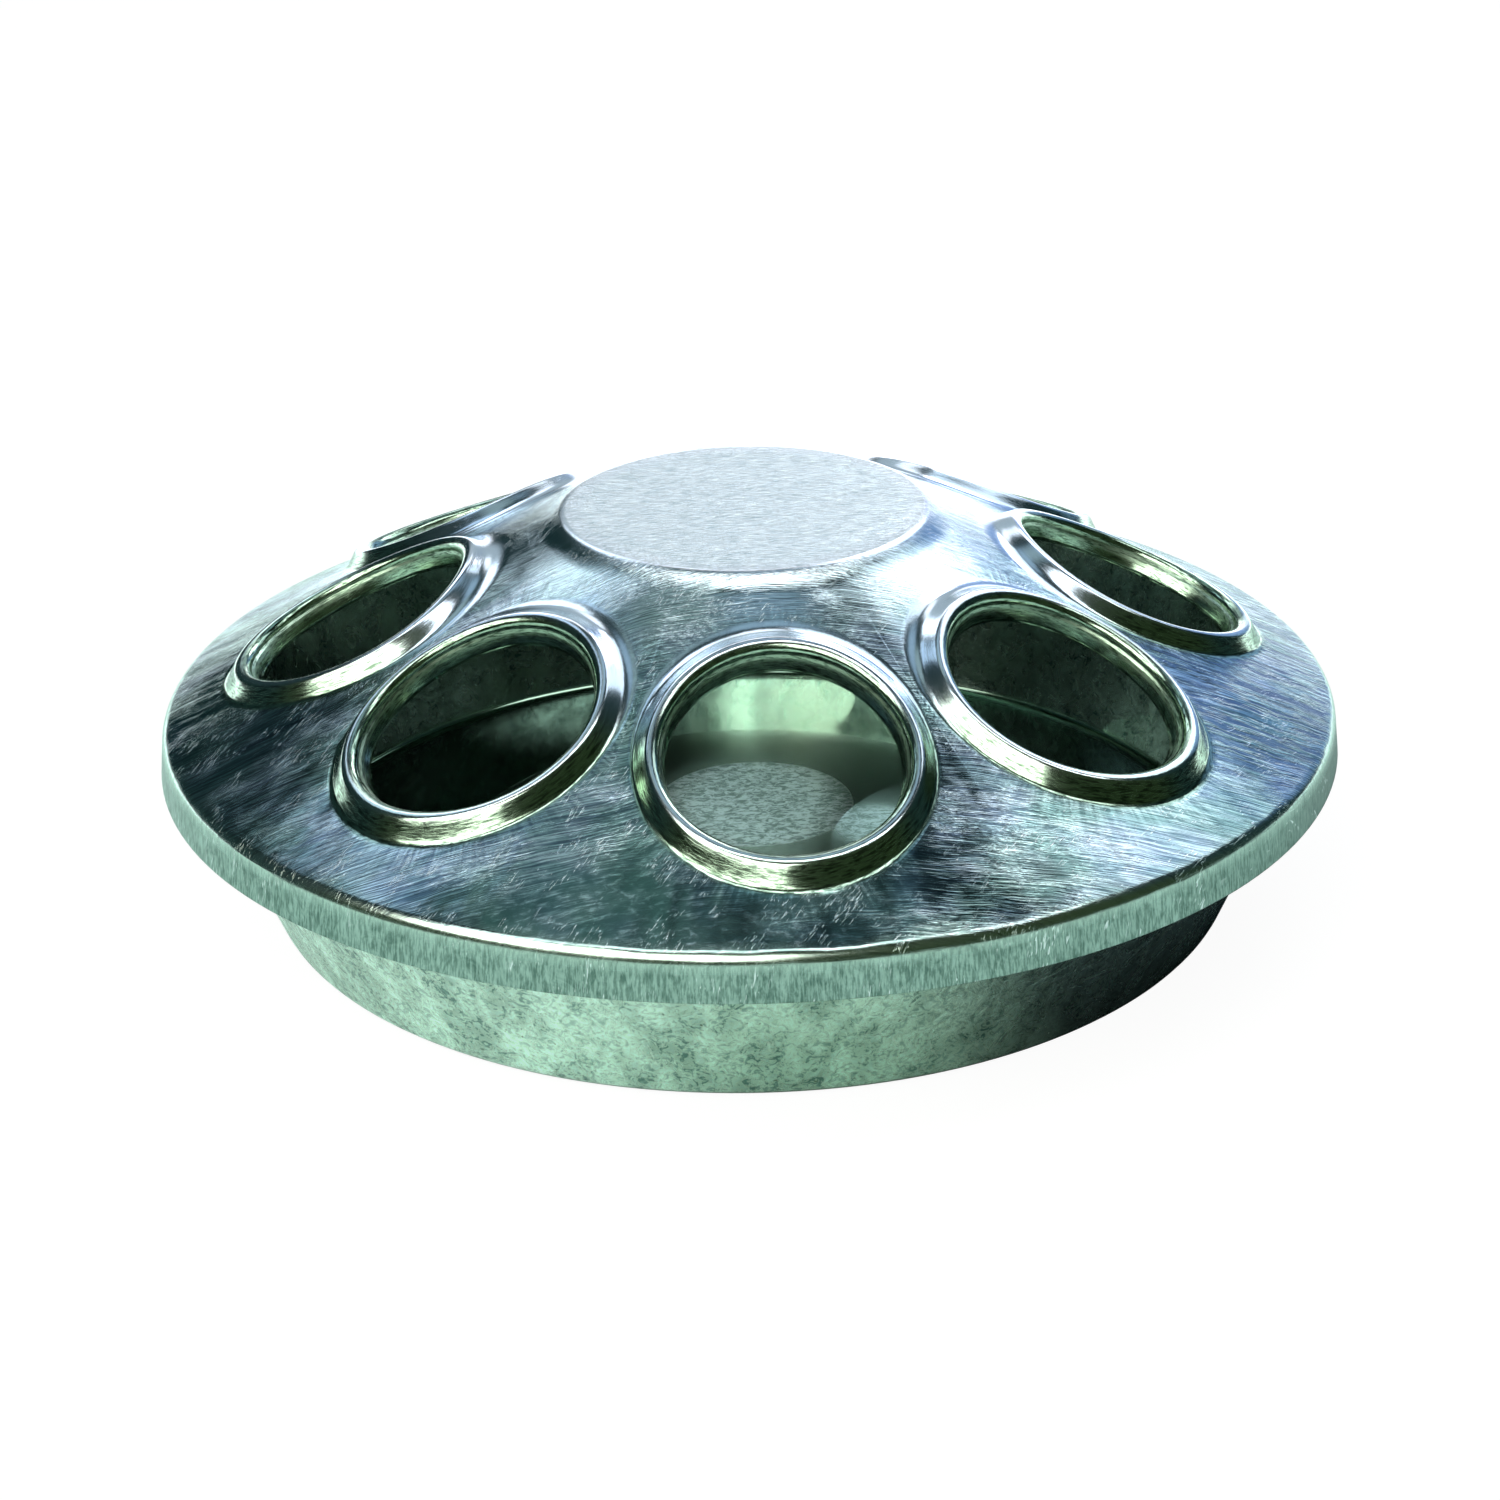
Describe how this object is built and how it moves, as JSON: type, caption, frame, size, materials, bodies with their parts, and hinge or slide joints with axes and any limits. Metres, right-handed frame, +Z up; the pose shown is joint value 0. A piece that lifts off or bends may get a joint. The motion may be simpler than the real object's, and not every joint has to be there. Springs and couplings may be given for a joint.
{
  "type": "round poultry feeder",
  "caption": "Round galvanised chick feeder: a shallow pan under a domed lift-off lid with collared feed holes around a flat top disc.",
  "frame": {"origin": "under the middle of the pan, on the surface that it stands on", "axes": "+Z up along the axis that both pieces are round about; the first feed hole faces -Y"},
  "size_m": [0.1524, 0.1524, 0.0503],
  "materials": {
    "pan_zinc": "hot-dip galvanised sheet, feathery spangle, satin",
    "lid_zinc": "hot-dip galvanised sheet, drawn and polished at the collars, scuffed"
  },
  "bodies": {
    "pan": {"pan": "pan_zinc"},
    "lid": {"lid": "lid_zinc"}
  },
  "joints": [
    {"name": "lid_lift", "type": "slide", "parent": "pan", "child": "lid", "axis": [0, 0, 1], "range_m": [0, 0.06]}
  ]
}
